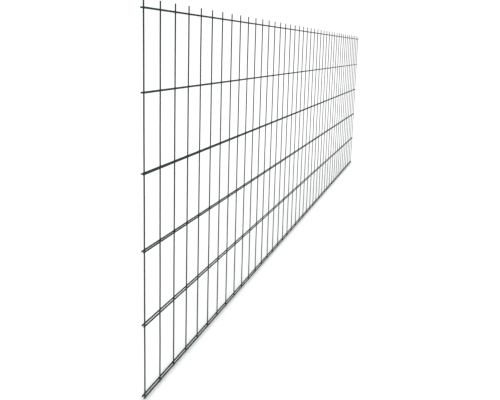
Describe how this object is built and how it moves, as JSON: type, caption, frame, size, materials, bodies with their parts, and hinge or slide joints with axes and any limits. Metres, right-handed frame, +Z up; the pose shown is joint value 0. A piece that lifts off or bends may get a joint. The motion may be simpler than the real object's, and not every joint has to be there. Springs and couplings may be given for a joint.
{
  "type": "livestock fence panel",
  "caption": "Double-wire mesh panel: straight uprights welded between paired lengthwise rods, with cut tips along the top and short stubs below",
  "frame": {"origin": "on the ground line, midway along the panel and midway through its thickness; the bottom ends of the uprights stand on Z = 0", "axes": "X runs along the panel, Y through its thickness from the front rods to the rear rods, Z up"},
  "size_m": [2.062, 0.0114, 1.03],
  "materials": {
    "wire_coating": "semi-gloss powder coat over steel wire, dark moss green"
  },
  "bodies": {
    "root": {"upright_01": "wire_coating", "upright_02": "wire_coating", "upright_03": "wire_coating", "upright_04": "wire_coating", "upright_05": "wire_coating", "upright_06": "wire_coating", "upright_07": "wire_coating", "upright_08": "wire_coating", "upright_09": "wire_coating", "upright_10": "wire_coating", "upright_11": "wire_coating", "upright_12": "wire_coating", "upright_13": "wire_coating", "upright_14": "wire_coating", "upright_15": "wire_coating", "upright_16": "wire_coating", "upright_17": "wire_coating", "upright_18": "wire_coating", "upright_19": "wire_coating", "upright_20": "wire_coating", "upright_21": "wire_coating", "upright_22": "wire_coating", "upright_23": "wire_coating", "upright_24": "wire_coating", "upright_25": "wire_coating", "upright_26": "wire_coating", "upright_27": "wire_coating", "upright_28": "wire_coating", "upright_29": "wire_coating", "upright_30": "wire_coating", "upright_31": "wire_coating", "upright_32": "wire_coating", "upright_33": "wire_coating", "upright_34": "wire_coating", "upright_35": "wire_coating", "upright_36": "wire_coating", "upright_37": "wire_coating", "upright_38": "wire_coating", "upright_39": "wire_coating", "upright_40": "wire_coating", "upright_41": "wire_coating", "upright_42": "wire_coating", "front_rod_1": "wire_coating", "front_rod_2": "wire_coating", "front_rod_3": "wire_coating", "front_rod_4": "wire_coating", "front_rod_5": "wire_coating", "front_rod_6": "wire_coating", "rear_rod_1": "wire_coating", "rear_rod_2": "wire_coating", "rear_rod_3": "wire_coating", "rear_rod_4": "wire_coating", "rear_rod_5": "wire_coating", "rear_rod_6": "wire_coating"}
  },
  "joints": []
}
